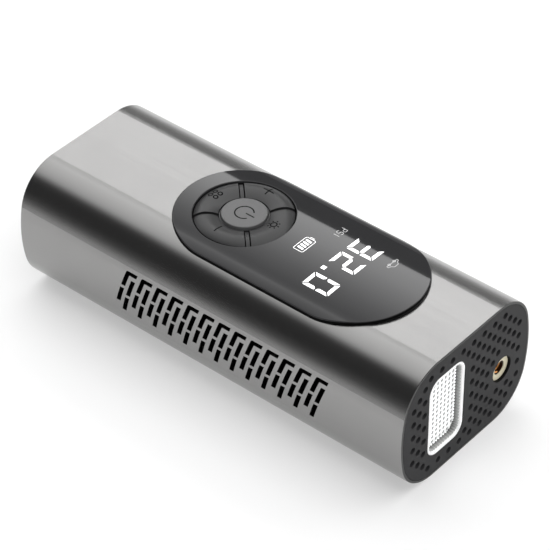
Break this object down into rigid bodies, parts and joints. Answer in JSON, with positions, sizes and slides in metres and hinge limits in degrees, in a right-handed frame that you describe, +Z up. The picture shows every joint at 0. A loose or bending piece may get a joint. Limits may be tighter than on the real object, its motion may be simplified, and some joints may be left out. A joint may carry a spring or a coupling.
{
  "type": "electric air pump",
  "caption": "Hand-held cordless air pump in a bulged aluminium tube, with a capsule control panel, round button cluster, lamp, threaded outlet and side vents.",
  "frame": {"origin": "middle of the underside, on the surface the pump lies on", "axes": "+X from the rear cap to the lamp and outlet end, +Z up through the control panel, +Y to the left seen from behind"},
  "size_m": [0.165, 0.0672, 0.0504],
  "materials": {
    "anodised_shell": "satin anodised gunmetal",
    "end_cap": "fine matt moulded",
    "panel_gloss": "high gloss black",
    "panel_black": "matt black",
    "button_grey": "soft satin dark grey",
    "lamp_clear": "clear moulded, dimpled inside",
    "lamp_white": "white reflector",
    "brass": "machined",
    "steel": "ground",
    "zinc_can": "zinc plated",
    "cast_aluminium": "die cast",
    "rubber_black": "matt",
    "nylon_dark": "moulded nylon",
    "ptfe_white": "waxy white",
    "board_green": "solder mask",
    "cell_wrap": "shrink sleeve",
    "nickel": "nickel strip",
    "mesh_dark": "woven dust mesh",
    "lead_red": "insulated wire"
  },
  "bodies": {
    "housing": {"body_shell": "anodised_shell", "front_cap": "end_cap", "rear_cap": "end_cap", "rear_cap_screws": "steel", "front_dust_filter": "mesh_dark", "vent_mesh_left": "mesh_dark", "vent_mesh_right": "mesh_dark", "chassis_tray": "nylon_dark", "panel_frame": "panel_black", "display_window": "panel_gloss", "button_bezel": "button_grey", "tact_switches": "nylon_dark", "control_board": "board_green", "display_module": "nylon_dark", "lamp_bezel": "lamp_white", "lamp_lens": "lamp_clear", "lamp_reflector": "lamp_white", "lamp_board": "board_green", "lamp_heat_sink": "cast_aluminium", "outlet_fitting": "brass", "outlet_o_ring": "rubber_black", "valve_spring": "steel", "motor_can": "zinc_can", "motor_end_bell": "nylon_dark", "motor_screws": "steel", "gear_frame": "cast_aluminium", "rubber_mounts": "rubber_black", "gear_bearing": "brass", "rod_bush": "brass", "cylinder": "cast_aluminium", "head_gasket": "rubber_black", "cylinder_head": "cast_aluminium", "head_screws": "steel", "pressure_sensor": "nylon_dark", "sensor_tube": "ptfe_white", "nickel_strips": "nickel", "main_board": "board_green", "usb_c_socket": "steel", "battery_cells": "cell_wrap", "cell_holder_rear": "nylon_dark", "cell_holder_front": "nylon_dark", "internal_leads": "lead_red"},
    "crank_gear": {"drive_gear": "steel", "gear_axle": "steel", "crank_pin": "steel", "crank_roller": "brass"},
    "crank_link": {"crank_rivet": "steel"},
    "piston_set": {"yoke": "nylon_dark", "piston_rod": "steel", "piston": "cast_aluminium", "piston_seal": "ptfe_white"},
    "motor_rotor": {"motor_shaft": "steel", "motor_pinion": "steel", "cooling_fan": "nylon_dark"},
    "outlet_valve": {"valve_poppet": "brass"},
    "power_button": {"power_button": "button_grey"},
    "mode_button": {"mode_button": "button_grey"},
    "minus_button": {"minus_button": "button_grey"},
    "plus_button": {"plus_button": "button_grey"},
    "light_button": {"light_button": "button_grey"}
  },
  "joints": [
    {"name": "drive_spin", "type": "hinge", "parent": "housing", "child": "crank_gear", "pos_m": [0.0205, 0.007, 0.0207], "axis": [0, 1, 0], "continuous": true},
    {"name": "motor_spin", "type": "hinge", "parent": "housing", "child": "motor_rotor", "pos_m": [0.0025, 0, 0.0207], "axis": [0, 1, 0], "continuous": true},
    {"name": "link_turn", "type": "hinge", "parent": "crank_gear", "child": "crank_link", "pos_m": [0.0235, 0.0124, 0.0207], "axis": [0, 1, 0], "continuous": true},
    {"name": "piston_stroke", "type": "hinge", "parent": "crank_link", "child": "piston_set", "pos_m": [0.0265, 0.01915, 0.0207], "axis": [0, 1, 0], "continuous": true},
    {"name": "valve_lift", "type": "slide", "parent": "housing", "child": "outlet_valve", "axis": [1, 0, 0], "range_m": [0, 0.0012], "stiffness_N_per_m": 120, "springref_m": -0.0015, "deforming": ["valve_spring"]},
    {"name": "power_press", "type": "slide", "parent": "housing", "child": "power_button", "axis": [0, 0, -1], "range_m": [0, 0.0005], "stiffness_N_per_m": 400, "springref_m": -0.0005},
    {"name": "mode_press", "type": "slide", "parent": "housing", "child": "mode_button", "axis": [0, 0, -1], "range_m": [0, 0.0005], "stiffness_N_per_m": 400, "springref_m": -0.0005},
    {"name": "minus_press", "type": "slide", "parent": "housing", "child": "minus_button", "axis": [0, 0, -1], "range_m": [0, 0.0005], "stiffness_N_per_m": 400, "springref_m": -0.0005},
    {"name": "plus_press", "type": "slide", "parent": "housing", "child": "plus_button", "axis": [0, 0, -1], "range_m": [0, 0.0005], "stiffness_N_per_m": 400, "springref_m": -0.0005},
    {"name": "light_press", "type": "slide", "parent": "housing", "child": "light_button", "axis": [0, 0, -1], "range_m": [0, 0.0005], "stiffness_N_per_m": 400, "springref_m": -0.0005}
  ],
  "couplings": [
    {"joint": "motor_spin", "follows": "drive_spin", "ratio": -4},
    {"joint": "link_turn", "follows": "drive_spin", "ratio": -2},
    {"joint": "piston_stroke", "follows": "drive_spin", "ratio": 1}
  ]
}
